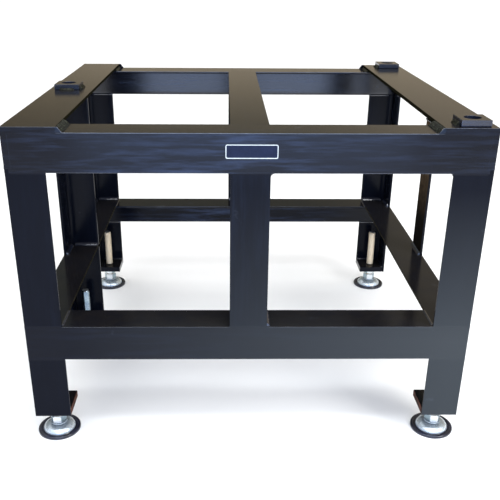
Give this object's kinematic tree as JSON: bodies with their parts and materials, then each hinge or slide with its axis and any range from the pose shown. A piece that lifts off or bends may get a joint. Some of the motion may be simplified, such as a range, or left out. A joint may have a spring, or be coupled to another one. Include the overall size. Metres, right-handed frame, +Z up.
{
  "type": "surface plate stand",
  "caption": "Welded steel-angle stand that carries a surface plate on raised square pads, on screw-adjusted swivel feet with zinc cups and rubber rings.",
  "frame": {"origin": "on the floor, under the middle of the stand", "axes": "+Z up, the front faces -Y, and +X is the right side, which has two pads"},
  "size_m": [0.915, 0.84, 0.6897],
  "materials": {
    "frame_paint": "semi-gloss dark blue-black paint",
    "pad_paint": "semi-gloss dark blue paint",
    "zinc": "bright zinc plating",
    "nylon": "natural nylon",
    "rubber": "matte black rubber"
  },
  "bodies": {
    "frame": {"side_rail_left": "frame_paint", "side_rail_right": "frame_paint", "front_top_rail": "frame_paint", "back_top_rail": "frame_paint", "centre_beam": "frame_paint", "front_centre_post": "frame_paint", "back_centre_post": "frame_paint", "left_mid_post": "frame_paint", "right_mid_post": "frame_paint", "front_lower_rail": "frame_paint", "back_lower_rail": "frame_paint", "left_lower_rail": "frame_paint", "right_lower_rail": "frame_paint", "upper_leg_front_left": "frame_paint", "upper_leg_front_right": "frame_paint", "upper_leg_back_left": "frame_paint", "upper_leg_back_right": "frame_paint", "lower_leg_front_left": "frame_paint", "lower_leg_front_right": "frame_paint", "lower_leg_back_left": "frame_paint", "lower_leg_back_right": "frame_paint", "lower_leg_mid_left": "frame_paint", "foot_plate_front_left": "frame_paint", "foot_plate_front_right": "frame_paint", "foot_plate_back_left": "frame_paint", "foot_plate_back_right": "frame_paint", "foot_plate_mid_left": "frame_paint", "pad_front_right": "pad_paint", "pad_back_right": "pad_paint", "pad_mid_left": "pad_paint"},
    "collar_front_left": {"washer_front_left": "zinc"},
    "stud_front_left": {"stud_front_left": "zinc"},
    "lock_nut_front_left": {"lock_nut_front_left": "zinc"},
    "seat_front_left": {"ball_seat_front_left": "nylon"},
    "cup_front_left": {"cup_front_left": "zinc", "rubber_ring_front_left": "rubber"},
    "collar_front_right": {"washer_front_right": "zinc"},
    "stud_front_right": {"stud_front_right": "zinc"},
    "lock_nut_front_right": {"lock_nut_front_right": "zinc"},
    "seat_front_right": {"ball_seat_front_right": "nylon"},
    "cup_front_right": {"cup_front_right": "zinc", "rubber_ring_front_right": "rubber"},
    "collar_back_left": {"washer_back_left": "zinc"},
    "stud_back_left": {"stud_back_left": "zinc"},
    "lock_nut_back_left": {"lock_nut_back_left": "zinc"},
    "seat_back_left": {"ball_seat_back_left": "nylon"},
    "cup_back_left": {"cup_back_left": "zinc", "rubber_ring_back_left": "rubber"},
    "collar_back_right": {"washer_back_right": "zinc"},
    "stud_back_right": {"stud_back_right": "zinc"},
    "lock_nut_back_right": {"lock_nut_back_right": "zinc"},
    "seat_back_right": {"ball_seat_back_right": "nylon"},
    "cup_back_right": {"cup_back_right": "zinc", "rubber_ring_back_right": "rubber"},
    "collar_mid_left": {"washer_mid_left": "zinc"},
    "stud_mid_left": {"stud_mid_left": "zinc"},
    "lock_nut_mid_left": {"lock_nut_mid_left": "zinc"},
    "seat_mid_left": {"ball_seat_mid_left": "nylon"},
    "cup_mid_left": {"cup_mid_left": "zinc", "rubber_ring_mid_left": "rubber"}
  },
  "joints": [
    {"name": "front_left_height", "type": "slide", "parent": "frame", "child": "collar_front_left", "axis": [0, 0, -1], "range_m": [0, 0.1]},
    {"name": "front_left_turn", "type": "hinge", "parent": "collar_front_left", "child": "stud_front_left", "pos_m": [-0.412, -0.3745, 0.0121], "axis": [0, 0, -1], "range_deg": [0, 14400]},
    {"name": "front_left_tilt_sideways", "type": "hinge", "parent": "collar_front_left", "child": "seat_front_left", "pos_m": [-0.412, -0.3745, 0.0121], "axis": [0, 1, 0], "range_deg": [-4, 4]},
    {"name": "front_left_tilt_lengthways", "type": "hinge", "parent": "seat_front_left", "child": "cup_front_left", "pos_m": [-0.412, -0.3745, 0.0121], "axis": [1, 0, 0], "range_deg": [-4, 4]},
    {"name": "front_left_lock_nut", "type": "hinge", "parent": "frame", "child": "lock_nut_front_left", "pos_m": [-0.412, -0.3745, 0.0121], "axis": [0, 0, -1], "range_deg": [0, 400]},
    {"name": "front_right_height", "type": "slide", "parent": "frame", "child": "collar_front_right", "axis": [0, 0, -1], "range_m": [0, 0.1]},
    {"name": "front_right_turn", "type": "hinge", "parent": "collar_front_right", "child": "stud_front_right", "pos_m": [0.412, -0.3745, 0.0121], "axis": [0, 0, -1], "range_deg": [0, 14400]},
    {"name": "front_right_tilt_sideways", "type": "hinge", "parent": "collar_front_right", "child": "seat_front_right", "pos_m": [0.412, -0.3745, 0.0121], "axis": [0, 1, 0], "range_deg": [-4, 4]},
    {"name": "front_right_tilt_lengthways", "type": "hinge", "parent": "seat_front_right", "child": "cup_front_right", "pos_m": [0.412, -0.3745, 0.0121], "axis": [1, 0, 0], "range_deg": [-4, 4]},
    {"name": "front_right_lock_nut", "type": "hinge", "parent": "frame", "child": "lock_nut_front_right", "pos_m": [0.412, -0.3745, 0.0121], "axis": [0, 0, -1], "range_deg": [0, 400]},
    {"name": "back_left_height", "type": "slide", "parent": "frame", "child": "collar_back_left", "axis": [0, 0, -1], "range_m": [0, 0.1]},
    {"name": "back_left_turn", "type": "hinge", "parent": "collar_back_left", "child": "stud_back_left", "pos_m": [-0.412, 0.3745, 0.0121], "axis": [0, 0, -1], "range_deg": [0, 14400]},
    {"name": "back_left_tilt_sideways", "type": "hinge", "parent": "collar_back_left", "child": "seat_back_left", "pos_m": [-0.412, 0.3745, 0.0121], "axis": [0, 1, 0], "range_deg": [-4, 4]},
    {"name": "back_left_tilt_lengthways", "type": "hinge", "parent": "seat_back_left", "child": "cup_back_left", "pos_m": [-0.412, 0.3745, 0.0121], "axis": [1, 0, 0], "range_deg": [-4, 4]},
    {"name": "back_left_lock_nut", "type": "hinge", "parent": "frame", "child": "lock_nut_back_left", "pos_m": [-0.412, 0.3745, 0.0121], "axis": [0, 0, -1], "range_deg": [0, 400]},
    {"name": "back_right_height", "type": "slide", "parent": "frame", "child": "collar_back_right", "axis": [0, 0, -1], "range_m": [0, 0.1]},
    {"name": "back_right_turn", "type": "hinge", "parent": "collar_back_right", "child": "stud_back_right", "pos_m": [0.412, 0.3745, 0.0121], "axis": [0, 0, -1], "range_deg": [0, 14400]},
    {"name": "back_right_tilt_sideways", "type": "hinge", "parent": "collar_back_right", "child": "seat_back_right", "pos_m": [0.412, 0.3745, 0.0121], "axis": [0, 1, 0], "range_deg": [-4, 4]},
    {"name": "back_right_tilt_lengthways", "type": "hinge", "parent": "seat_back_right", "child": "cup_back_right", "pos_m": [0.412, 0.3745, 0.0121], "axis": [1, 0, 0], "range_deg": [-4, 4]},
    {"name": "back_right_lock_nut", "type": "hinge", "parent": "frame", "child": "lock_nut_back_right", "pos_m": [0.412, 0.3745, 0.0121], "axis": [0, 0, -1], "range_deg": [0, 400]},
    {"name": "mid_left_height", "type": "slide", "parent": "frame", "child": "collar_mid_left", "axis": [0, 0, -1], "range_m": [0, 0.08]},
    {"name": "mid_left_turn", "type": "hinge", "parent": "collar_mid_left", "child": "stud_mid_left", "pos_m": [-0.412, -0.0005, 0.0121], "axis": [0, 0, -1], "range_deg": [0, 11520]},
    {"name": "mid_left_tilt_sideways", "type": "hinge", "parent": "collar_mid_left", "child": "seat_mid_left", "pos_m": [-0.412, -0.0005, 0.0121], "axis": [0, 1, 0], "range_deg": [-4, 4]},
    {"name": "mid_left_tilt_lengthways", "type": "hinge", "parent": "seat_mid_left", "child": "cup_mid_left", "pos_m": [-0.412, -0.0005, 0.0121], "axis": [1, 0, 0], "range_deg": [-4, 4]},
    {"name": "mid_left_lock_nut", "type": "hinge", "parent": "frame", "child": "lock_nut_mid_left", "pos_m": [-0.412, -0.0005, 0.0121], "axis": [0, 0, -1], "range_deg": [0, 400]}
  ],
  "couplings": [
    {"joint": "front_left_turn", "follows": "front_left_height", "rad_per_m": 2513.3},
    {"joint": "front_right_turn", "follows": "front_right_height", "rad_per_m": 2513.3},
    {"joint": "back_left_turn", "follows": "back_left_height", "rad_per_m": 2513.3},
    {"joint": "back_right_turn", "follows": "back_right_height", "rad_per_m": 2513.3},
    {"joint": "mid_left_turn", "follows": "mid_left_height", "rad_per_m": 2513.3}
  ]
}
